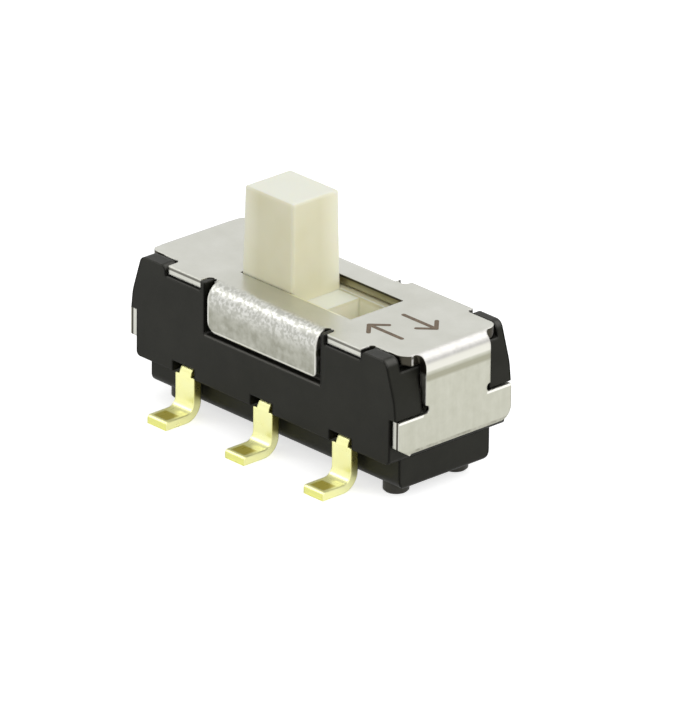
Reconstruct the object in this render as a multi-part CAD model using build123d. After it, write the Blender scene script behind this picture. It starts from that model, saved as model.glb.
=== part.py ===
from build123d import *
import os

# A sub-miniature two-position slide switch for surface mounting: a moulded black housing on four
# pegs, a folded sheet-steel cover, a cream slider with its knob, three gull-wing terminals on the
# near side and a bridging contact under the slider.
# Millimetres. +X runs along the travel, -Y is the side with the leads, +Z is up. The origin is under
# the middle of the housing, on the plane that the pegs and the feet of the leads stand on.

# Overall
body_length = 8.55
body_width = 3.4
body_height = 3.4
standoff = 0.27

# Cover
sheet = 0.2
end_bend_inside = 0.12
side_bend_inside = 0.19
cover_inset = 0.05
flap_proud = 0.07
waist_length = 1.225
waist_step = 0.27
waist_corner = 0.12
tab_shift = 0.075
shoulder_from_face = 0.225
shoulder_round = 0.25
neck_step = 0.435
neck_round = 0.17
neck_root_tilt = 33
tab_length = 2.15
bar_height = 0.8
bar_round = 0.3
bar_chamfer_along = 0.32
bar_chamfer_up = 0.17
bar_burr = 0.04
bite_radius = 0.1
flap_drop = 1.08
near_flap_half = 1.72
far_flap_right = 0.85
flap_corner_left = 0.25
flap_corner_right = 0.12
relief_width = 0.28
near_relief_short = 0.04
far_relief_short = 0.12
slot_end_gap = 0.015

# Housing
end_gap = 0.05
end_round = 0.11
band_inset_side = 0.38
band_inset_end = 0.07
band_height = 0.73
band_round_end = 0.1
band_round_side = 0.22
post_lean_low = 0.045
post_lean_high = 0.28
post_knee_drop = 0.9
post_knee_round = 1.2
post_round = 0.2
post_inner_round = 0.15
post_drop = 0.01
post_inset = 0.07
post_above_bar = 0.03
post_gap = 0.05
ledge_drop = 0.33
ledge_length = 0.3
channel_gap = 0.05
pocket_gap_side = 0.13
pocket_gap_below = 0.14
pocket_depth_gap = 0.02
nub_gap = 0.03
lip_chamfer = 0.06
wall_end = 0.4
floor_top = 1.24
peg_diameter = 0.58
peg_from_end = 0.9
peg_from_side = 0.83
peg_chamfer = 0.04
notch_gap_side = 0.05
notch_gap_top = 0.01

# Slider
knob_length = 1.62
knob_width = 1.42
knob_height = 2.04
knob_draft = 1.0
knob_round = 0.05
travel = 1.85
slot_near_gap = 0.02
slot_far_gap = 0.11
pad_drop = 0.28
pad_reach = 0.64
pad_step = 0.45
rail_width = 0.33
rail_bite = 0.05
rail_gap = 0.05
carriage_lift = 0.15
carriage_gap = 0.05
belly_depth = 0.45
belly_wall = 0.3

# Terminals
pitch = 2.5
lead_width = 0.6
lead_neck = 0.36
lead_sheet = 0.2
lead_inset = 0.04
lead_bend_top = 0.08
lead_bend_foot = 0.23
foot_length = 0.82
foot_round = 0.08
lead_shoulder_drop = 0.26
plate_width = 1.2
plate_length = 1.7

# Bridging contact
strip = 0.1
strip_width = 1.1
strip_slit = 0.24
strip_hole_gap = 0.02
contact_rise = 0.03
contact_flat = 0.9
contact_tail = 0.3
contact_tail_rise = 0.18
contact_bend = 0.12
rivet_diameter = 0.4
rivet_head = 0.1

# Worked out from the above
half_width = body_width / 2
bar_face = body_length / 2
tab_inner = bar_face - sheet
end_wall = tab_inner - end_gap
seat = body_height - sheet
cover_width = body_width - 2 * cover_inset
wide_length = body_length - 2 * waist_length
waist_width = cover_width - 2 * waist_step
neck_width = waist_width - 2 * neck_step
flap_face = cover_width / 2 + flap_proud
bend_line = flap_face - side_bend_inside - sheet
near_relief_root = bend_line + near_relief_short
far_relief_root = bend_line + far_relief_short
shoulder = bar_face - shoulder_from_face
bar_bottom = body_height - tab_length
bar_top = bar_bottom + bar_height
band_top = standoff + band_height
knob_rest = -travel / 2
slot_length = travel + knob_length + 2 * slot_end_gap
slot_width = knob_width + slot_near_gap + slot_far_gap
slot_shift = (slot_far_gap - slot_near_gap) / 2
pad_level = body_height - pad_drop
recess_level = pad_level - pad_step
rail_top = seat - rail_gap
rail_inner = knob_width / 2 - rail_bite
carriage_half_width = rail_inner + rail_width
cavity_half_length = end_wall - wall_end
cavity_half_width = carriage_half_width + carriage_gap
carriage_half_length = cavity_half_length - travel / 2 - carriage_gap
carriage_bottom = floor_top + carriage_lift
belly_roof = carriage_bottom + belly_depth
channel_width = neck_width + 2 * channel_gap
lead_face = half_width - lead_inset
lead_reach = lead_face + foot_length
lead_shoulder = floor_top - lead_shoulder_drop
peg_spacing_x = body_length - 2 * peg_from_end
peg_spacing_y = body_width - 2 * peg_from_side
notch_half = lead_width / 2 + notch_gap_side
post_spacing = waist_width + 2 * post_gap
post_top = body_height - post_drop
post_low = bar_top + post_above_bar
post_start = wide_length / 2 + post_gap
band_half_width = half_width - band_inset_side
near_flap = (-near_flap_half, near_flap_half)
far_flap = (-near_flap_half, far_flap_right)
lead_places = [pitch * step for step in (-1, 0, 1)]


# Shapes used by every piece
def block(x_span, y_span, z_span):
    """A box between two planes along each axis."""
    sizes = [high - low for low, high in (x_span, y_span, z_span)]
    middle = [(high + low) / 2 for low, high in (x_span, y_span, z_span)]
    return Pos(*middle) * Box(*sizes)


def both(reach):
    return (-reach, reach)


def tab_span(width):
    """The span in Y of a feature that is centred on the end tabs."""
    return (tab_shift - width / 2, tab_shift + width / 2)


def along_x(face, x_span):
    """A side-to-side outline, drawn in Y and Z, drawn out between two planes along X."""
    low, high = x_span
    return Pos(low, 0, 0) * extrude(Plane.YZ * face, high - low, dir=(1, 0, 0))


def along_y(face, y_span):
    """A lengthwise outline, drawn in X and Z, drawn out between two planes along Y."""
    low, high = y_span
    return Pos(0, low, 0) * extrude(Plane.XZ * face, high - low, dir=(0, 1, 0))


def along_z(face, z_span):
    low, high = z_span
    return Pos(0, 0, low) * extrude(face, high - low, dir=(0, 0, 1))


def outline(*points):
    return Polygon(*points, align=None)


def round_corner(sketch, place, radius):
    """The sketch with the corner nearest to one point rounded."""
    corner = sketch.vertices().sort_by_distance((*place, 0))[0]
    return fillet(corner, radius)


def both_ends(piece):
    return piece + mirror(piece, Plane.YZ)


# Cover
def plate_outline():
    """Top view: wide over the flaps, a waist that ends in shoulders, and a neck over each end."""
    plate = Rectangle(wide_length, cover_width)
    for length, width in ((2 * shoulder, waist_width), (body_length, neck_width)):
        plate += Pos(0, tab_shift) * Rectangle(length, width)
    for x in both(wide_length / 2):
        for y in tab_span(waist_width):
            plate = round_corner(plate, (x, y), waist_corner)
    for x in both(shoulder):
        for y in tab_span(waist_width):
            plate = round_corner(plate, (x, y), shoulder_round)
    return plate - Pos(0, slot_shift) * Rectangle(slot_length, slot_width)


def neck_root(y, side):
    """Fills the inside corner between a shoulder and the neck with a round, square to the bend."""
    corner = Plane((shoulder, y, body_height)).rotated((0, neck_root_tilt, 0))
    square = Rectangle(2 * neck_round, 2 * neck_round)
    fill = square - Pos(neck_round, side * neck_round) * Circle(neck_round)
    return extrude(corner * fill, 2 * sheet, both=True)


def bar_outline():
    """End view of the bar at the foot of a tab: sheared, with a burr, on the near side."""
    reach = cover_width / 2
    tip = bar_chamfer_along - reach
    bar = outline(
        (-reach, bar_top), (-reach, bar_bottom + bar_chamfer_up), (tip, bar_bottom - bar_burr),
        (tip + bar_burr, bar_bottom), (reach, bar_bottom), (reach, bar_top),
    )
    return round_corner(bar, (reach, bar_bottom), bar_round)


def folded_strip():
    """The blank folded down at both ends, still at its full width."""
    low = bar_bottom - bar_burr
    skin = outline((-bar_face, low), (bar_face, low), (bar_face, body_height), (-bar_face, body_height))
    core = outline((-tab_inner, low), (tab_inner, low), (tab_inner, seat), (-tab_inner, seat))
    for side in (-1, 1):
        skin = round_corner(skin, (side * bar_face, body_height), end_bend_inside + sheet)
        core = round_corner(core, (side * tab_inner, seat), end_bend_inside)
    return along_y(skin - core, both(cover_width / 2))


def folded_edge(side):
    """End view of the sheet where it turns down into a flap on one side."""
    outside = side * flap_face
    inside = outside - side * sheet
    root = side * (bend_line - sheet)
    low = body_height - flap_drop
    skin = outline((root, low), (outside, low), (outside, body_height), (root, body_height))
    skin = round_corner(skin, (outside, body_height), side_bend_inside + sheet)
    core = outline((root, low), (inside, low), (inside, seat), (root, seat))
    core = round_corner(core, (inside, seat), side_bend_inside)
    return skin - core


def flap(x_span, side):
    """One side flap with round lower corners."""
    low = body_height - flap_drop
    left, right = x_span
    face = outline((left, low), (right, low), (right, body_height), (left, body_height))
    face = round_corner(face, (left, low), flap_corner_left)
    face = round_corner(face, (right, low), flap_corner_right)
    return along_x(folded_edge(side), x_span) & along_y(face, both(flap_face))


def relief(x, side, width, z_span):
    """The shape of a round-ended notch beside a flap, from its root to past the edge."""
    root = near_relief_root if side < 0 else far_relief_root
    centre = side * (root + relief_width / 2)
    reach = sorted((centre, side * (half_width + sheet)))
    mouth = block((x - width / 2, x + width / 2), reach, z_span)
    return mouth + along_z(Pos(x, centre) * Circle(width / 2), z_span)


def cover():
    over = (seat - sheet, body_height + sheet)
    strip_all = folded_strip()
    body = strip_all & along_z(plate_outline(), (bar_top, body_height))
    bars = strip_all & along_x(bar_outline(), (tab_inner, bar_face))
    body += both_ends(bars)
    for side, y in zip((-1, 1), tab_span(neck_width)):
        body += both_ends(strip_all & neck_root(y, side))
        for x_span in ((-bar_face, -tab_inner), (tab_inner, bar_face)):
            body -= along_x(Pos(y, bar_top + bite_radius) * Circle(bite_radius), x_span)
    for x_span, side in ((near_flap, -1), (far_flap, 1)):
        beyond = sorted((side * bend_line, side * half_width))
        body -= block(x_span, beyond, over)
        body -= relief(x_span[0] - relief_width / 2, side, relief_width, over)
        body -= relief(x_span[1] + relief_width / 2, side, relief_width, over)
        body += flap(x_span, side)
    return body


# Housing
def post_outline():
    """Lengthwise view of a corner post, whose end face leans in more and more towards its top."""
    foot = bar_face - post_inset
    knee = (foot - post_lean_low, body_height - post_knee_drop)
    crown = (knee[0] - post_lean_high, post_top)
    post = outline((post_start, post_low), (foot, post_low), knee, crown, (post_start, post_top))
    post = round_corner(post, knee, post_knee_round)
    post = round_corner(post, (post_start, post_top), post_inner_round)
    return round_corner(post, crown, post_round)


def posts():
    """The two corner posts of the right end, with the channel for the neck between them."""
    pair = along_y(post_outline(), both(half_width))
    pair -= block((end_wall, bar_face), tab_span(channel_width), (bar_top, body_height))
    return pair - block((0, bar_face), tab_span(post_spacing), (seat, body_height))


def past_posts():
    """What lies beyond the leaning end face of the right posts, over the whole width."""
    room = block((post_start, body_length), both(body_width), (post_low, body_height))
    return room - along_y(post_outline(), both(body_width))


def nubs(x_span, side):
    """The stubs of the wall that fill the notches beside a flap."""
    body = None
    for x in (x_span[0] - relief_width / 2, x_span[1] + relief_width / 2):
        stub = relief(x, side, relief_width - 2 * nub_gap, (band_top, post_top))
        stub &= block(both(body_length), both(half_width), (band_top, post_top))
        body = stub if body is None else body + stub
    return body


def flap_pocket(x_span, side):
    """The room in a long side that a flap folds into, with the edge under the bend broken."""
    face = side * (flap_face - sheet - pocket_depth_gap)
    past = side * (half_width + sheet)
    broken = side_bend_inside + pocket_depth_gap
    low = body_height - flap_drop - pocket_gap_below
    room = outline(
        (past, low), (face, low), (face, seat - broken), (face - side * broken, seat),
        (face - side * broken, body_height), (past, body_height),
    )
    return along_x(room, (x_span[0] - pocket_gap_side, x_span[1] + pocket_gap_side))


def housing_block():
    """The outside: a wide upper body with broken top edges over a narrower band."""
    rim = half_width - lip_chamfer
    upper = outline(
        (-half_width, band_top), (half_width, band_top), (half_width, seat - lip_chamfer),
        (rim, seat), (-rim, seat), (-half_width, seat - lip_chamfer),
    )
    band_end = end_wall - band_inset_end
    long_side = outline((-end_wall, band_top), (end_wall, band_top), (end_wall, seat), (-end_wall, seat))
    band = outline((-band_end, standoff), (band_end, standoff), (band_end, band_top), (-band_end, band_top))
    keel = outline(
        (-band_half_width, standoff), (band_half_width, standoff), (band_half_width, band_top),
        (-band_half_width, band_top),
    )
    for side in (-1, 1):
        long_side = round_corner(long_side, (side * end_wall, band_top), end_round)
        band = round_corner(band, (side * band_end, standoff), band_round_end)
        keel = round_corner(keel, (side * band_half_width, standoff), band_round_side)
    body = along_x(upper, both(end_wall)) & along_y(long_side, both(half_width))
    return body + (along_y(band, both(band_half_width)) & along_x(keel, both(band_end)))


def peg():
    """A round peg, whose root runs up into the rounded band."""
    pin = along_z(Circle(peg_diameter / 2), (0, band_top))
    return chamfer(pin.edges().sort_by(Axis.Z)[0], peg_chamfer)


def housing(terminals):
    body = housing_block() - both_ends(past_posts())
    body += both_ends(posts())
    body -= block(both(cavity_half_length), both(cavity_half_width), (floor_top, body_height))
    ledge = block(
        (end_wall - ledge_length, bar_face), tab_span(post_spacing), (body_height - ledge_drop, body_height)
    )
    body -= both_ends(ledge)
    body += nubs(near_flap, -1)
    for x_span, side in ((near_flap, -1), (far_flap, 1)):
        body -= flap_pocket(x_span, side)
    for x in lead_places:
        mouth = (x - notch_half, x + notch_half)
        body -= block(mouth, (-half_width, -band_half_width), (standoff, floor_top + notch_gap_top))
    for place in GridLocations(peg_spacing_x, peg_spacing_y, 2, 2):
        body += place * peg()
    for piece in terminals:
        body -= piece
    return body


# Slider
def knob():
    """The tapered knob, widest where it stands on the carriage."""
    height = body_height + knob_height - pad_level
    shape = Pos(0, 0, pad_level) * extrude(Rectangle(knob_length, knob_width), height, taper=knob_draft)
    shape = fillet(shape.edges().filter_by(Axis.Z, tolerance=5), knob_round)
    return fillet(shape.faces().sort_by(Axis.Z)[-1].edges(), knob_round)


def carriage():
    """The part under the cover: rails beside the slot, a pad round the knob, a hollow belly."""
    length = both(carriage_half_length)
    pad = both(knob_length / 2 + pad_reach)
    body = block(length, both(carriage_half_width), (carriage_bottom, rail_top))
    body -= block(length, both(rail_inner), (recess_level, rail_top))
    body += block(pad, both(rail_inner), (recess_level, pad_level))
    belly = both(carriage_half_length - belly_wall)
    body -= block(belly, both(carriage_half_width - belly_wall), (carriage_bottom, belly_roof))
    shank = along_z(Circle(rivet_diameter / 2), (belly_roof - strip - rivet_head, belly_roof))
    return body + shank


def slider():
    return Pos(knob_rest, 0, 0) * (carriage() + knob())


# Terminals
def lead_outline():
    """Side view of a terminal: plate in the floor, knee outside the wall, leg and foot."""
    level = floor_top
    inner = level - lead_sheet
    outer = -lead_face
    leg = outer + lead_sheet
    end = plate_length - cavity_half_width
    side = outline(
        (end, level), (outer, level), (outer, lead_sheet), (-lead_reach, lead_sheet),
        (-lead_reach, 0), (leg, 0), (leg, inner), (end, inner),
    )
    side = round_corner(side, (outer, level), lead_bend_top + lead_sheet)
    side = round_corner(side, (leg, inner), lead_bend_top)
    side = round_corner(side, (-lead_reach, lead_sheet), foot_round)
    side = round_corner(side, (outer, lead_sheet), lead_bend_foot)
    return round_corner(side, (leg, 0), lead_bend_foot + lead_sheet)


def terminal(x):
    """One terminal, with a narrow neck between its plate and its shouldered leg."""
    shape = along_x(lead_outline(), both(plate_width / 2))
    side = (lead_neck / 2, plate_width)
    outside = (-lead_reach, -cavity_half_width)
    for x_span in (side, (-side[1], -side[0])):
        shape -= block(x_span, outside, (lead_shoulder, floor_top))
    for x_span in ((lead_width / 2, plate_width), (-plate_width, -lead_width / 2)):
        shape -= block(x_span, outside, (0, lead_shoulder))
    return Pos(x, 0, 0) * shape


# Bridging contact
def bridge_path():
    """Middle line of the strip, from one upturned tail to the other."""
    flat = belly_roof - strip / 2
    touch = floor_top + contact_rise + strip / 2
    reach = pitch / 2
    tail = reach + contact_tail
    return FilletPolyline(
        (-tail, touch + contact_tail_rise), (-reach, touch), (-contact_flat / 2, flat),
        (contact_flat / 2, flat), (reach, touch), (tail, touch + contact_tail_rise),
        radius=contact_bend,
    )


def moving_contact():
    """A springy strip with forked ends, held under the slider by a rivet."""
    shape = along_y(trace(bridge_path(), strip), both(strip_width / 2))
    for x_span in ((contact_flat / 2, pitch), (-pitch, -contact_flat / 2)):
        shape -= block(x_span, both(strip_slit / 2), (0, body_height))
    hole = along_z(Circle(rivet_diameter / 2 + strip_hole_gap), (floor_top, body_height))
    return Pos(knob_rest, 0, 0) * (shape - hole)


def main():
    os.makedirs("parts", exist_ok=True)
    terminals = [terminal(x) for x in lead_places]
    pieces = {
        "housing": housing(terminals),
        "cover": cover(),
        "slider": slider(),
        "moving_contact": moving_contact(),
    }
    for number, piece in enumerate(terminals, start=1):
        pieces[f"terminal_{number}"] = piece
    for name, piece in pieces.items():
        export_step(piece, f"parts/{name}.step")


main()
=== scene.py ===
import math
import bmesh
import bpy
from mathutils import Matrix, Vector


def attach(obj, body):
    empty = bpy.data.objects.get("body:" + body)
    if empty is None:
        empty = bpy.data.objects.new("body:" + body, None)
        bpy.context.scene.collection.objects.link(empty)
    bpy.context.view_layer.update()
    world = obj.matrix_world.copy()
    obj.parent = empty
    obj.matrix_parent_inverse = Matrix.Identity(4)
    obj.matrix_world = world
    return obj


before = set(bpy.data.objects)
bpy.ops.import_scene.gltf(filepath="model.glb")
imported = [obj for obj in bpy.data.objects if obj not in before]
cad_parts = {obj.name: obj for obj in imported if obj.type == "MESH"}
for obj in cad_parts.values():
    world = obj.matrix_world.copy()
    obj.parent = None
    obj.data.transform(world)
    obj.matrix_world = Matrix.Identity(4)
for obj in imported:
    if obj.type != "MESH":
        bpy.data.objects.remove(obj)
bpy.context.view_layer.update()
MM = 0.001

# The camera, as fitted to the photograph's 700 by 720 frame: angles in degrees, distances in mm
VIEW_AZIMUTH = 46.79
VIEW_ELEVATION = 23.36
VIEW_ROLL = 0.63
VIEW_DISTANCE = 235.6
VIEW_ASIDE = 0.680
VIEW_UP = 1.726
VIEW_FLOOR = 0.197
VIEW_NEAREST = 10.0
VIEW_FOCAL_PX = 10855
FRAME_WIDTH_PX = 700
SENSOR_WIDTH = 36.0

# The light, against white as 1: the world as a light, the lamps, and the floor as seen and mirrored
WORLD_LEVEL = 0.62
KEY_LEVEL = 2.7
RIM_LEVEL = 1.45
FILL_LEVEL = 1.8
FLOOR_SEEN = 0.68
FLOOR_MIRRORED = 0.5

# How far the lamps stand from the object, and how far the floor reaches each way, in mm
LAMP_DISTANCE = 190
FLOOR_REACH = 1500

# Edges, which the materials round off: the bevel's samples, and radii in mm
EDGE_SAMPLES = 4
EDGE_HOUSING = 0.05
EDGE_COVER = 0.055
EDGE_LEAD = 0.05
EDGE_KNOB = 0.07

# How far painted highlights and shade along edges reach, in mm, and how far an edge or bend must turn for
# them to show
REACH_HOUSING = 0.09
REACH_KNOB = 0.15
TURN_EDGE_HIGHLIGHT = (0.32, 0.45)
TURN_LIP_HIGHLIGHT = (0.88, 0.985)
TURN_CORNER_SHADE = (0.12, 0.3)
TURN_KNOB_EDGE_LIGHT = (0.80, 0.99)
TURN_SHEET_CORNER_SHADE = (0.08, 0.3)
TURN_BEND_TOP_SHADE = (0.08, 0.34)

# The housing's painted light, in mm above the board: shade on the walls' tops, highlights on pocket lips,
# shade in corners, and light on the pegs
WALL_TOP = (3.165, 3.21)
POCKET_LIP_HIGHLIGHT = (1.8, 2.6)
SHADED_CORNERS_FROM = (0.3, 0.35)
PEG_LIGHT_TOP = (0.25, 0.28)

# The cover, in mm: its top, the faces and bars of its end tabs, and its near flap and fold
COVER_TOP = 3.4
TAB_FACE = 4.275
TAB_LINE_TOP = (2.2, 2.3)
BAR_TOP = 2.05
BAR_LOW = 1.25
BAR_PAST_NECK = (0.92, 0.95)
FLAP_HALF = 1.72
FLAP_LOW = 2.32
FLAP_ENDS = (1.75, 1.8)
FOLD_FROM = (-1.5, -1.34)
FOLD_HEIGHT = (2.75, 3.1)

# The end bends' painted light, in mm above the board: the painted dark reflection band, the painted
# highlight band and the painted shade at the top
BEND_DARK_REFLECTION = (2.83, 2.92)
BEND_HIGHLIGHT = (3.04, 3.2)
BEND_TOP_SHADE = (3.17, 3.23)

# The cover's cut edges, in mm: shear lines under a face, the wings beside the necks, with painted shade,
# and the slot, with painted reflection, shade and a highlight
SHEAR_LINE = (0.085, 0.04)
SHEAR_SOFT = 0.012
WING_FROM = (3.5, 3.6)
WING_END = (4.02, 4.07)
WING_SIDE_TOP = (2.9, 3.0)
WING_END_TOP = (3.0, 3.1)
WING_END_FROM = (0.82, 0.86)
WING_GLINT = (1.055, 1.085)
SLOT_WITHIN_X = (1.78, 1.8)
SLOT_WITHIN_Y = (0.88, 0.9)
SLOT_NEAR = -0.73
SLOT_RIM_HIGHLIGHT_SPAN = (-0.1, 1.3)

# The slider, in mm: its knob at rest, and where painted light and shade go: the knob's far edges, foot
# and sides, and what is under the cover
KNOB_REST = -0.925
KNOB_FAR_X = (KNOB_REST - 0.8, KNOB_REST - 0.3)
KNOB_FAR_Y = (0.1, 0.7)
KNOB_FOOT = (3.2, 3.4)
KNOB_RIM_FROM = (3.4, 3.6)
PAST_KNOB = (0.69, 0.72)
UNDER_COVER = (3.3, 3.4)
UNDER_PAD = (3.04, 3.11)

# The leads, in mm: pitch, the painted reflection patch's half width and reach along Y, and heights above
# the board
FOOT_PITCH = 2.5
FOOT_REFLECTION_HALF = 0.19
FOOT_REACH = (-2.36, -2.05)
FOOT_SOFT = 0.06
FOOT_TOP = (0.3, 0.35)
FOOT_TIP_TOP = (0.15, 0.2)
LEG_FROM = (0.35, 0.6)

# How much of a surface's direction must lie along an axis for it to count as facing that way
FACES_UP = (0.5, 0.6)
FACES_OUT = (0.8, 0.95)
FACES_ASIDE = (0.5, 0.8)
STANDS_UPRIGHT = (0.3, 0.6)

# The span of a noise's values that is stretched to its whole range, softly or sharply
NOISE_SOFT = (0.3, 0.7)
NOISE_SHARP = (0.35, 0.65)

# The changeover arrows on the cover, in mm: stroke, length, head, height, and each one's place and way
MARK_STROKE = 0.1
MARK_LENGTH = 1.02
MARK_HEAD = 0.3
MARK_PROUD = 0.004
MARK_ARROWS = ((2.72, -0.62, -1), (2.82, 0.3, 1))

# The steps in a stroke's round end, and the share by which the barbs' heights differ from the shaft's
MARK_STEPS = 8
BARB_STEP = 0.1


# Node trees
class Nodes:
    """A material's nodes, added and joined by short calls. Places and sizes are in millimetres."""

    def __init__(self, name):
        self.material = bpy.data.materials.new(name)
        self.material.use_nodes = True
        self.tree = self.material.node_tree
        self.shader = self.tree.nodes["Principled BSDF"]

    def add(self, kind, **settings):
        node = self.tree.nodes.new(kind)
        for name, value in settings.items():
            setattr(node, name, value)
        return node

    def link(self, source, target):
        self.tree.links.new(source, target)

    def join(self, name, source):
        """Leads a value into one of the shader's inputs."""
        self.link(source, self.shader.inputs[name])

    def keep(self, name, value):
        """Sets one of the shader's inputs to a fixed value."""
        self.shader.inputs[name].default_value = value

    def place(self):
        """The object's own place, which moves with it."""
        node = self.add("ShaderNodeVectorMath", operation="SCALE")
        node.inputs["Scale"].default_value = 1.0 / MM
        self.link(self.add("ShaderNodeTexCoord").outputs["Object"], node.inputs[0])
        return node.outputs["Vector"]

    def facing(self):
        return self.add("ShaderNodeNewGeometry").outputs["Normal"]

    def axes(self, vector):
        node = self.add("ShaderNodeSeparateXYZ")
        self.link(vector, node.inputs["Vector"])
        return node.outputs

    def noise(self, scale, detail, rough=0.55, stretch=None):
        """Noise in the object's own place; scale is in features per millimetre."""
        texture = self.add("ShaderNodeTexNoise")
        texture.inputs["Scale"].default_value = scale
        texture.inputs["Detail"].default_value = detail
        texture.inputs["Roughness"].default_value = rough
        where = self.place()
        if stretch:
            mapping = self.add("ShaderNodeMapping")
            mapping.inputs["Scale"].default_value = stretch
            self.link(where, mapping.inputs["Vector"])
            where = mapping.outputs["Vector"]
        self.link(where, texture.inputs["Vector"])
        return texture.outputs["Fac"]

    def calc(self, kind, first, second=0.0):
        """One arithmetic step; either side may be a number."""
        node = self.add("ShaderNodeMath", operation=kind)
        for socket, value in zip(node.inputs, (first, second)):
            if isinstance(value, (int, float)):
                socket.default_value = value
            else:
                self.link(value, socket)
        return node.outputs["Value"]

    def times(self, first, *others):
        """The product of all: for masks, where every one of them holds."""
        for other in others:
            first = self.calc("MULTIPLY", first, other)
        return first

    def most(self, first, *others):
        """The largest of all: for masks, where any one of them holds."""
        for other in others:
            first = self.calc("MAXIMUM", first, other)
        return first

    def size(self, value):
        """The value without its sign."""
        return self.calc("ABSOLUTE", value)

    def without(self, mask):
        """Where a mask doesn't hold."""
        return self.calc("SUBTRACT", 1.0, mask)

    def ramp(self, value, span, onto):
        """Maps a value within a span onto another span, and holds it at the ends."""
        node = self.add("ShaderNodeMapRange")
        self.link(value, node.inputs["Value"])
        for name, number in zip(("From Min", "From Max", "To Min", "To Max"), (*span, *onto)):
            node.inputs[name].default_value = number
        return node.outputs["Result"]

    def rise(self, value, span):
        """0 below a span and 1 above it."""
        return self.ramp(value, span, (0.0, 1.0))

    def fall(self, value, span):
        """1 below a span and 0 above it."""
        return self.ramp(value, span, (1.0, 0.0))

    def band(self, value, span, soft):
        """1 within a span, fading to 0 over the given width outside it."""
        low, high = span
        return self.times(self.rise(value, (low - soft, low)), self.fall(value, (high, high + soft)))

    def blend(self, factor, first, second):
        """A colour between two others."""
        node = self.add("ShaderNodeMix", data_type="RGBA")
        self.link(factor, node.inputs["Factor"])
        for socket, value in ((node.inputs["A"], first), (node.inputs["B"], second)):
            if isinstance(value, tuple):
                socket.default_value = (*value, 1.0)
            else:
                self.link(value, socket)
        return node.outputs["Result"]

    def paint(self, colour, *coats):
        """Lays coats, each a mask and its colour, over a colour."""
        for mask, coat in coats:
            colour = self.blend(mask, colour, coat)
        return colour

    def rounded(self, radius):
        """The surface's direction with its edges rounded to a radius."""
        node = self.add("ShaderNodeBevel", samples=EDGE_SAMPLES)
        node.inputs["Radius"].default_value = radius * MM
        return node.outputs["Normal"]

    def along_edges(self, rounding, span):
        """1 where an edge's rounding turns the surface well away from its own direction."""
        node = self.add("ShaderNodeVectorMath", operation="DOT_PRODUCT")
        self.link(rounding, node.inputs[0])
        self.link(self.facing(), node.inputs[1])
        return self.fall(node.outputs["Value"], span)

    def bump(self, height, depth, strength=1.0, edge=0.0):
        """Relief of the given depth, over edges rounded to the given radius."""
        node = self.add("ShaderNodeBump")
        if edge:
            self.link(self.rounded(edge), node.inputs["Normal"])
        node.inputs["Distance"].default_value = depth * MM
        node.inputs["Strength"].default_value = strength
        self.link(height, node.inputs["Height"])
        self.join("Normal", node.outputs["Normal"])


# The housing
def moulded_black():
    """Glass-filled black moulding: matt grain, with painted highlights on top edges and pocket lips,
    painted shade in upright corners and on the tops of the walls, and painted light on the pegs.
    """
    nodes = Nodes("housing_black")
    height = nodes.axes(nodes.place())["Z"]
    rounding = nodes.rounded(REACH_HOUSING)
    turned = nodes.axes(rounding)
    mottle = nodes.noise(1.4, detail=3.0)
    grain = nodes.noise(24.0, detail=3.0, rough=0.7)

    aside = nodes.most(nodes.size(turned["X"]), nodes.size(turned["Y"]))
    # Painted highlights on edges that face up and aside
    edge_highlight = nodes.rise(nodes.times(turned["Z"], aside), TURN_EDGE_HIGHLIGHT)
    # Painted highlight along the pocket's edges under the near flap
    lip_highlight = nodes.along_edges(rounding, TURN_LIP_HIGHLIGHT)
    lip_highlight = nodes.times(lip_highlight, nodes.rise(turned["Z"], (0.15, 0.35)), nodes.band(height, POCKET_LIP_HIGHLIGHT, 0.2))
    # Painted shade on the walls' tops, in the narrow space under the cover
    level = nodes.rise(nodes.axes(nodes.facing())["Z"], FACES_UP)
    gap_shade = nodes.times(nodes.band(height, WALL_TOP, 0.01), level)
    # Painted shade in upright corners, from just above the board up
    upright_corner_shade = nodes.rise(nodes.size(nodes.times(turned["X"], turned["Y"])), TURN_CORNER_SHADE)
    upright_corner_shade = nodes.times(upright_corner_shade, nodes.rise(height, SHADED_CORNERS_FROM))
    shade = nodes.most(gap_shade, upright_corner_shade)

    black = nodes.blend(nodes.rise(mottle, NOISE_SOFT), (0.0095, 0.0095, 0.0075), (0.015, 0.015, 0.012))
    # Painted light on the pegs, then painted highlights on edges and pocket lips, then painted shade
    colour = nodes.paint(
        black,
        (nodes.fall(height, PEG_LIGHT_TOP), (0.065, 0.063, 0.056)),
        (edge_highlight, (0.08, 0.078, 0.073)),
        (lip_highlight, (0.19, 0.185, 0.17)),
        (shade, (0.002, 0.002, 0.002)),
    )
    nodes.join("Base Color", colour)
    nodes.join("Roughness", nodes.ramp(grain, NOISE_SOFT, (0.34, 0.46)))
    nodes.join("Specular IOR Level", nodes.ramp(shade, (0.0, 1.0), (0.175, 0.04)))
    nodes.keep("Specular Tint", (1.0, 1.0, 0.84, 1.0))
    nodes.bump(grain, 0.0015, 0.5, EDGE_HOUSING)
    return nodes.material


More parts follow.
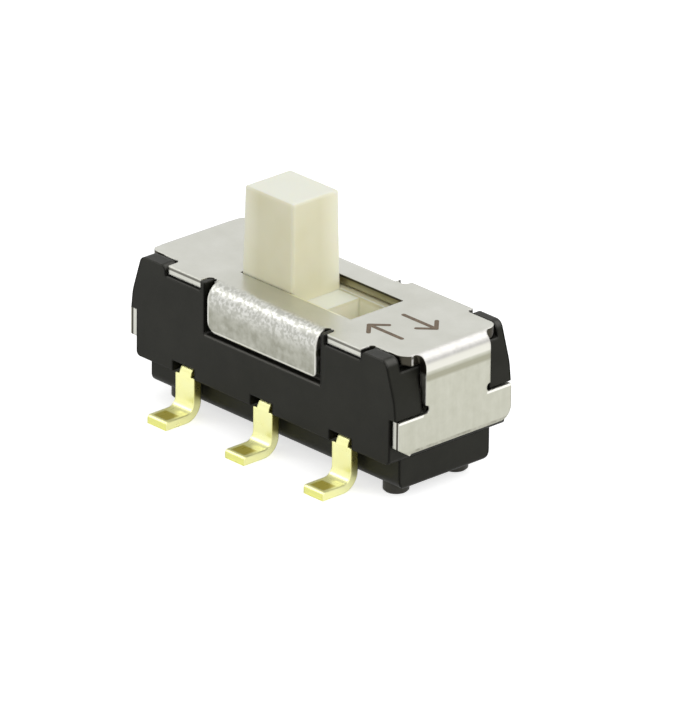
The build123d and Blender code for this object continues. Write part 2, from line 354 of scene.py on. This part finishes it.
# The cover
class SheetNodes(Nodes):
    """The cover's nodes, with the places, directions and noises that its paint goes by."""

    def __init__(self, name):
        super().__init__(name)
        place = self.axes(self.place())
        normal = self.axes(self.facing())
        self.x, self.y, self.height = (place[axis] for axis in "XYZ")
        self.along = self.size(self.x)
        self.across = self.size(self.y)
        self.outward = self.size(normal["X"])
        self.sidelong = self.size(normal["Y"])
        self.on_tab = self.rise(self.outward, FACES_OUT)
        self.aside = self.rise(self.sidelong, FACES_ASIDE)
        self.level = self.rise(normal["Z"], FACES_UP)
        self.upright = self.fall(self.size(normal["Z"]), STANDS_UPRIGHT)
        self.fold = self.times(self.fall(self.along, FLAP_ENDS), self.fall(self.y, FOLD_FROM))
        self.fold_high = self.rise(self.height, FOLD_HEIGHT)
        self.blotch = self.noise(4.0, detail=3.0, rough=0.6)
        self.satin = self.noise(20.0, detail=4.0, rough=0.6)
        self.peel = self.noise(13.0, detail=2.0, rough=0.5)
        streak = self.noise(5.0, detail=3.0, rough=0.6, stretch=(1.0, 1.0, 0.12))
        self.drawn = self.rise(self.times(self.calc("ADD", streak, self.blotch), 0.5), NOISE_SHARP)


def sheet_faces(nodes):
    """The sheet's colours: plate, end tabs toned darker as painted shade over drawn streaks, and the near
    flap with painted shade low down, painted speckled highlights on the fold and painted highlights along
    its edges.
    """
    cloud = nodes.rise(nodes.noise(1.3, detail=3.0), NOISE_SOFT)
    plain = nodes.blend(cloud, (0.585, 0.585, 0.525), (0.645, 0.645, 0.59))
    # End tabs: drawn streaks, toned darker than the plate as painted shade
    tab_shaded = nodes.blend(nodes.drawn, (0.50, 0.50, 0.415), (0.565, 0.565, 0.48))
    # Lower flap: blotchy, and darker than the plate as painted shade
    flap_shade = nodes.blend(nodes.rise(nodes.blotch, NOISE_SHARP), (0.32, 0.32, 0.265), (0.46, 0.46, 0.40))
    # Upper fold: painted speckled highlights over the orange peel
    fold_highlight = nodes.blend(nodes.rise(nodes.peel, (0.42, 0.6)), (0.48, 0.48, 0.435), (0.69, 0.69, 0.65))
    ends = nodes.rise(nodes.along, (FLAP_HALF - 0.05, FLAP_HALF - 0.03))
    foot = nodes.fall(nodes.height, (FLAP_LOW + 0.03, FLAP_LOW + 0.05))
    # Painted highlight along the flap's ends and foot
    rim_highlight = nodes.times(nodes.most(ends, foot), nodes.fold)
    return nodes.paint(
        plain,
        (nodes.on_tab, tab_shaded),
        (nodes.fold, nodes.blend(nodes.fold_high, flap_shade, fold_highlight)),
        (rim_highlight, (0.68, 0.68, 0.62)),
    )


def bend_coats(nodes):
    """Painted light on the end bends: a painted highlight band under the top, painted shade at the top,
    and a painted dark reflection band where the end faces run straight.
    """
    # Painted shade on the bends' upper part, next to the plate
    top = nodes.times(nodes.rise(nodes.outward, TURN_BEND_TOP_SHADE), nodes.rise(nodes.height, BEND_TOP_SHADE))
    return (
        # A painted highlight band, painted shade near the plate, and a painted dark reflection band lower
        # down
        (nodes.times(nodes.band(nodes.height, BEND_HIGHLIGHT, 0.05), nodes.outward), (0.76, 0.75, 0.68)),
        (top, nodes.blend(nodes.drawn, (0.50, 0.49, 0.465), (0.60, 0.59, 0.565))),
        (nodes.times(nodes.band(nodes.height, BEND_DARK_REFLECTION, 0.06), nodes.outward), (0.37, 0.365, 0.28)),
    )


def bar_coats(nodes):
    """The bars' faces: a darker mottled line low down, and a painted highlight along both edges."""
    # A darker mottled line low on the bars' faces
    low_dark_line = nodes.band(nodes.height, (BAR_LOW + 0.03, BAR_LOW + 0.06), 0.025)
    low_dark_line = nodes.times(low_dark_line, nodes.on_tab, nodes.ramp(nodes.blotch, (0.4, 0.6), (0.15, 0.75)))
    # Painted highlight along the bars' top edges
    lip_highlight = nodes.band(nodes.height, (BAR_TOP - 0.045, BAR_TOP), 0.01)
    lip_highlight = nodes.times(lip_highlight, nodes.on_tab, nodes.rise(nodes.across, BAR_PAST_NECK))
    # Painted highlight along the bars' low edges
    rim_highlight = nodes.times(nodes.fall(nodes.height, (BAR_LOW - 0.015, BAR_LOW + 0.005)), nodes.on_tab)
    return (
        (low_dark_line, (0.25, 0.245, 0.19)),
        (lip_highlight, (0.90, 0.89, 0.82)),
        (rim_highlight, (0.70, 0.69, 0.60)),
    )


def shear_line(nodes, value, face):
    """The dark line at mid depth of a cut edge, under the face that the value is measured to."""
    from_face, to_face = SHEAR_LINE
    return nodes.band(value, (face - from_face, face - to_face), SHEAR_SOFT)


def wing_cut_shade(nodes):
    """Painted shade on the cut edges of the wings beside the necks, left off at one spot on each end
    where a glint shows.
    """
    side = nodes.times(
        nodes.rise(nodes.along, WING_FROM),
        nodes.aside,
        nodes.rise(nodes.height, WING_SIDE_TOP),
    )
    end = nodes.times(
        nodes.band(nodes.along, WING_END, 0.01),
        nodes.on_tab,
        nodes.rise(nodes.across, WING_END_FROM),
        nodes.without(nodes.band(nodes.across, WING_GLINT, 0.02)),
        nodes.rise(nodes.height, WING_END_TOP),
    )
    return nodes.most(side, end)


def cut_coats(nodes):
    """The cut edges: shear lines, painted shade on round corners and wings, painted reflection and shade
    on the slot's walls, and a painted highlight along the slot's near edge.
    """
    plate_line = nodes.times(shear_line(nodes, nodes.height, COVER_TOP), nodes.upright, 0.8)
    tab_line = nodes.times(
        shear_line(nodes, nodes.along, TAB_FACE),
        nodes.aside,
        nodes.fall(nodes.height, TAB_LINE_TOP),
    )
    # Painted shade on the round corners of the cut edges
    corners = nodes.rise(nodes.times(nodes.outward, nodes.sidelong), TURN_SHEET_CORNER_SHADE)
    in_slot = nodes.times(
        nodes.fall(nodes.along, SLOT_WITHIN_X),
        nodes.fall(nodes.across, SLOT_WITHIN_Y),
        nodes.upright,
    )
    # Brown-olive painted reflection and shade on the slot's walls, darker towards the top edge
    wall_height = nodes.rise(nodes.height, (COVER_TOP - 0.17, COVER_TOP - 0.06))
    wall_lip = nodes.rise(nodes.height, (COVER_TOP - 0.06, COVER_TOP - 0.045))
    slot_wall_reflection = nodes.blend(wall_height, (0.44, 0.42, 0.29), (0.22, 0.20, 0.12))
    # Painted highlight along the slot's near edge
    slot_rim_highlight = nodes.times(
        nodes.band(nodes.y, (SLOT_NEAR - 0.03, SLOT_NEAR + 0.005), 0.015),
        nodes.level,
        nodes.band(nodes.x, SLOT_RIM_HIGHLIGHT_SPAN, 0.3),
    )
    return (
        # Shear lines are the cut edges' own; the round corners and wings get painted shade
        (nodes.most(plate_line, tab_line, corners, wing_cut_shade(nodes)), (0.06, 0.055, 0.042)),
        (in_slot, nodes.blend(wall_lip, slot_wall_reflection, (0.05, 0.045, 0.03))),
        (slot_rim_highlight, (1.0, 0.99, 0.80)),
    )


def plated_sheet():
    """Satin plated sheet: orange peel on the near fold, a dark shear line on the cut edges, and painted
    highlights, reflections and shade in its colours.
    """
    nodes = SheetNodes("cover_sheet")
    colour = nodes.paint(sheet_faces(nodes), *bend_coats(nodes), *bar_coats(nodes), *cut_coats(nodes))
    nodes.join("Base Color", colour)
    nodes.keep("Metallic", 1.0)
    flat_rough = nodes.times(nodes.ramp(nodes.satin, NOISE_SOFT, (0.30, 0.40)), nodes.without(nodes.fold))
    fold_rough = nodes.times(nodes.ramp(nodes.peel, NOISE_SHARP, (0.42, 0.34)), nodes.fold)
    nodes.join("Roughness", nodes.calc("ADD", flat_rough, fold_rough))
    peeled = nodes.times(nodes.peel, nodes.fold, nodes.calc("ADD", nodes.fold_high, 0.25))
    nodes.bump(nodes.calc("ADD", nodes.times(nodes.satin, 0.14), peeled), 0.0065, 1.0, EDGE_COVER)
    return nodes.material


# The slider
def cream_plastic():
    """Cream moulding with a slightly waxy depth, with painted light on its top faces, edges and far sides
    and in the pit beside the knob, and painted shade on the rails under the cover.
    """
    nodes = Nodes("slider_cream")
    place = nodes.axes(nodes.place())
    normal = nodes.axes(nodes.facing())
    height = place["Z"]
    grain = nodes.noise(22.0, detail=2.0)
    cloud = nodes.rise(nodes.noise(0.9, detail=2.0), NOISE_SOFT)

    # Painted light: faces turned up get a paler copy of the cream
    level = nodes.rise(normal["Z"], (0.7, 0.95))
    past_knob = nodes.rise(nodes.size(place["Y"]), PAST_KNOB)
    # Painted shade on the rails under the cover
    rail_shade = nodes.times(nodes.fall(height, UNDER_COVER), past_knob)
    # Painted light in the pit beside the knob
    pit_light = nodes.times(nodes.fall(height, UNDER_PAD), nodes.without(past_knob))
    # Painted light on the knob's far sides, standing in for light through the plastic
    far_side_light = nodes.most(
        nodes.times(nodes.fall(place["X"], KNOB_FAR_X), nodes.size(normal["Y"])),
        nodes.times(nodes.rise(place["Y"], KNOB_FAR_Y), nodes.size(normal["X"])),
    )
    # Painted highlights along the knob's edges, stronger towards its top
    thin_edge_light = nodes.along_edges(nodes.rounded(REACH_KNOB), TURN_KNOB_EDGE_LIGHT)
    colour = nodes.paint(
        nodes.blend(cloud, (0.80, 0.765, 0.52), (0.85, 0.82, 0.60)),
        (level, (0.88, 0.89, 0.77)),
        (rail_shade, (0.76, 0.72, 0.52)),
        (pit_light, (0.94, 0.92, 0.75)),
        (nodes.times(far_side_light, nodes.rise(height, KNOB_FOOT)), (1.0, 0.98, 0.78)),
        (nodes.times(thin_edge_light, nodes.ramp(height, KNOB_RIM_FROM, (0.0, 0.75))), (0.95, 0.95, 0.84)),
    )
    nodes.join("Base Color", colour)
    nodes.join("Roughness", nodes.ramp(grain, NOISE_SOFT, (0.38, 0.5)))
    nodes.keep("Subsurface Weight", 0.25)
    nodes.keep("Subsurface Radius", (1.0, 0.8, 0.45))
    nodes.keep("Subsurface Scale", 0.25 * MM)
    nodes.bump(grain, 0.0015, 0.5, EDGE_KNOB)
    return nodes.material


# The terminals and the contact
def gold_plate(name, light, dark, rough_span, edge=0.0):
    """Plating over rolled strip, with faint drawn lines; feet carry a duller olive patch on the middle of
    their tops, a painted dark reflection.
    """
    nodes = Nodes(name)
    place = nodes.axes(nodes.place())
    normal = nodes.axes(nodes.facing())
    height = place["Z"]
    along = nodes.size(place["X"])
    cloud = nodes.rise(nodes.noise(2.0, detail=2.0), NOISE_SOFT)
    drawn = nodes.noise(9.0, detail=3.0, stretch=(3.0, 0.4, 0.4))

    from_lead = nodes.calc("MINIMUM", along, nodes.size(nodes.calc("SUBTRACT", along, FOOT_PITCH)))
    foot = nodes.times(nodes.rise(normal["Z"], (0.75, 0.9)), nodes.fall(height, FOOT_TOP))
    # Painted dark reflection on the middle of each foot's top, duller and olive
    foot_reflection = nodes.times(
        nodes.fall(from_lead, (FOOT_REFLECTION_HALF, FOOT_REFLECTION_HALF + FOOT_SOFT)),
        nodes.band(place["Y"], FOOT_REACH, FOOT_SOFT),
        foot,
    )
    tip = nodes.times(nodes.fall(normal["Y"], (-0.95, -0.8)), nodes.fall(height, FOOT_TIP_TOP))
    side = nodes.times(nodes.rise(nodes.size(normal["X"]), FACES_OUT), nodes.rise(height, LEG_FROM))
    colour = nodes.paint(
        nodes.blend(cloud, dark, light),
        (side, (0.58, 0.53, 0.16)),
        (tip, (0.84, 0.84, 0.27)),
        (foot_reflection, (0.60, 0.52, 0.10)),
    )
    nodes.join("Base Color", colour)
    nodes.join("Metallic", nodes.ramp(foot, (0.0, 1.0), (0.9, 0.2)))
    nodes.join("Roughness", nodes.ramp(drawn, NOISE_SOFT, rough_span))
    nodes.bump(drawn, 0.001, 0.6, edge)
    return nodes.material


# The mark and the floor
def laser_brown():
    """Burnt brown of a laser mark on metal, a little uneven along its strokes."""
    nodes = Nodes("laser_brown")
    uneven = nodes.rise(nodes.noise(12.0, detail=3.0), NOISE_SHARP)
    nodes.join("Base Color", nodes.blend(uneven, (0.12, 0.082, 0.05), (0.20, 0.15, 0.10)))
    nodes.join("Roughness", nodes.ramp(uneven, (0.0, 1.0), (0.5, 0.65)))
    nodes.keep("Metallic", 0.4)
    nodes.bump(uneven, 0.002, 0.5)
    return nodes.material


def white_floor():
    """A pale floor that shows as white where the light reaches it, and keeps the shadow."""
    nodes = Nodes("floor_white")
    path = nodes.add("ShaderNodeLightPath").outputs
    seen = nodes.times(path["Is Camera Ray"], FLOOR_SEEN)
    mirrored = nodes.times(nodes.most(path["Is Glossy Ray"], path["Is Transmission Ray"]), FLOOR_MIRRORED)
    nodes.keep("Base Color", (0.75, 0.75, 0.75, 1.0))
    nodes.keep("Roughness", 0.9)
    nodes.keep("Specular IOR Level", 0.0)
    nodes.keep("Emission Color", (1.0, 1.0, 1.0, 1.0))
    nodes.join("Emission Strength", nodes.calc("ADD", seen, mirrored))
    return nodes.material


# Dressing the CAD pieces
def dress(name, material):
    """Gives a CAD node its material."""
    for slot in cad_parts[name].material_slots:
        slot.material = material


def dress_all():
    gold = gold_plate("terminal_gold", (1.0, 1.0, 0.52), (1.0, 0.98, 0.45), (0.26, 0.34), EDGE_LEAD)
    spring = gold_plate("contact_plate", (0.85, 0.76, 0.52), (0.78, 0.68, 0.44), (0.22, 0.34))
    dress("housing", moulded_black())
    dress("cover", plated_sheet())
    dress("slider", cream_plastic())
    dress("moving_contact", spring)
    for number in (1, 2, 3):
        dress(f"terminal_{number}", gold)


# The mark on the cover
def stroke(mesh, start, end, proud):
    """One stroke with round ends: a thin prism that stands proud of the cover's top face."""
    run = end - start
    turn = math.atan2(run.y, run.x)
    ring = []
    for middle, first in ((end, -math.pi / 2), (start, math.pi / 2)):
        for step in range(MARK_STEPS + 1):
            angle = turn + first + math.pi * step / MARK_STEPS
            ring.append(middle + Vector((math.cos(angle), math.sin(angle))) * MARK_STROKE / 2)
    low = [mesh.verts.new(Vector((p.x, p.y, COVER_TOP - proud)) * MM) for p in ring]
    high = [mesh.verts.new(Vector((p.x, p.y, COVER_TOP + proud)) * MM) for p in ring]
    mesh.faces.new(high)
    mesh.faces.new(low[::-1])
    for here in range(len(ring)):
        after = (here + 1) % len(ring)
        mesh.faces.new((low[here], low[after], high[after], high[here]))


def changeover_arrows():
    """A generic pair of opposed arrows, one for each way that the knob goes."""
    for number, (x, y, way) in enumerate(MARK_ARROWS, start=1):
        mesh = bmesh.new()
        tip = Vector((x + way * MARK_LENGTH / 2, y))
        stroke(mesh, Vector((x - way * MARK_LENGTH / 2, y)), tip, MARK_PROUD)
        for side in (-1, 1):
            barb = tip + Vector((-way * MARK_HEAD, side * MARK_HEAD))
            stroke(mesh, barb, tip, MARK_PROUD * (1.0 + BARB_STEP * side))
        data = bpy.data.meshes.new(f"arrow_mark_{number}")
        mesh.to_mesh(data)
        mesh.free()
        data.materials.append(laser_brown())
        arrow = bpy.data.objects.new(f"arrow_mark_{number}", data)
        bpy.context.collection.objects.link(arrow)
        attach(arrow, "base")


# Studio
def floor():
    mesh = bpy.data.meshes.new("floor")
    reach = FLOOR_REACH * MM
    corners = [(-reach, -reach, 0), (reach, -reach, 0), (reach, reach, 0), (-reach, reach, 0)]
    mesh.from_pydata(corners, [], [(0, 1, 2, 3)])
    mesh.materials.append(white_floor())
    plane = bpy.data.objects.new("floor", mesh)
    bpy.context.collection.objects.link(plane)


def world_light(level):
    """A white world, at full strength where it is seen or mirrored, and dimmer as light."""
    world = bpy.data.worlds.new("studio")
    bpy.context.scene.world = world
    world.use_nodes = True
    tree = world.node_tree
    background = tree.nodes["Background"]
    path = tree.nodes.new("ShaderNodeLightPath")
    seen = path.outputs["Is Camera Ray"]
    for ray in ("Is Glossy Ray", "Is Transmission Ray"):
        either = tree.nodes.new("ShaderNodeMath")
        either.operation = "MAXIMUM"
        tree.links.new(seen, either.inputs[0])
        tree.links.new(path.outputs[ray], either.inputs[1])
        seen = either.outputs["Value"]
    strength = tree.nodes.new("ShaderNodeMapRange")
    strength.inputs["To Min"].default_value = level
    strength.inputs["To Max"].default_value = 1.0
    tree.links.new(seen, strength.inputs["Value"])
    tree.links.new(strength.outputs["Result"], background.inputs["Strength"])
    background.inputs["Color"].default_value = (1.0, 1.0, 1.0, 1.0)


def outward(azimuth, elevation):
    """The way from the object that an azimuth and an elevation, in radians, point to."""
    flat = math.cos(elevation)
    return Vector((math.sin(azimuth) * flat, -math.cos(azimuth) * flat, math.sin(elevation)))


def softbox(name, azimuth, elevation, width, height, level):
    """An area lamp that faces the object; sizes in mm and angles in degrees, level against white."""
    data = bpy.data.lights.new(name, "AREA")
    data.shape = "RECTANGLE"
    data.size = width * MM
    data.size_y = height * MM
    data.energy = math.pi * width * height * MM * MM * level
    lamp = bpy.data.objects.new(name, data)
    bpy.context.collection.objects.link(lamp)
    turn = math.radians(azimuth)
    away = outward(turn, math.radians(elevation))
    lamp.location = away * LAMP_DISTANCE * MM
    across = Vector((math.cos(turn), math.sin(turn), 0.0))
    lamp.rotation_euler = Matrix((across, away.cross(across), away)).transposed().to_euler()


def camera():
    turn, lift, roll = (math.radians(angle) for angle in (VIEW_AZIMUTH, VIEW_ELEVATION, VIEW_ROLL))
    back = outward(turn, lift)
    level = Vector((math.cos(turn), math.sin(turn), 0.0))
    rise = back.cross(level)
    right = level * math.cos(roll) + rise * math.sin(roll)
    up = rise * math.cos(roll) - level * math.sin(roll)
    place = right * VIEW_ASIDE + up * VIEW_UP + back * VIEW_DISTANCE - Vector((0, 0, VIEW_FLOOR))
    data = bpy.data.cameras.new("camera")
    data.sensor_fit = "HORIZONTAL"
    data.sensor_width = SENSOR_WIDTH
    data.lens = VIEW_FOCAL_PX / FRAME_WIDTH_PX * data.sensor_width
    data.clip_start = VIEW_NEAREST * MM
    eye = bpy.data.objects.new("camera", data)
    bpy.context.collection.objects.link(eye)
    turned = Matrix((right, up, back)).transposed().to_4x4()
    eye.matrix_world = Matrix.Translation(place * MM) @ turned
    bpy.context.scene.camera = eye


dress_all()
changeover_arrows()
floor()
world_light(WORLD_LEVEL)
softbox("left_key", azimuth=-57, elevation=40, width=60, height=60, level=KEY_LEVEL)
softbox("back_rim", azimuth=163, elevation=47, width=210, height=75, level=RIM_LEVEL)
softbox("right_fill", azimuth=85, elevation=30, width=120, height=120, level=FILL_LEVEL)
camera()
bpy.context.scene.view_settings.view_transform = "Standard"
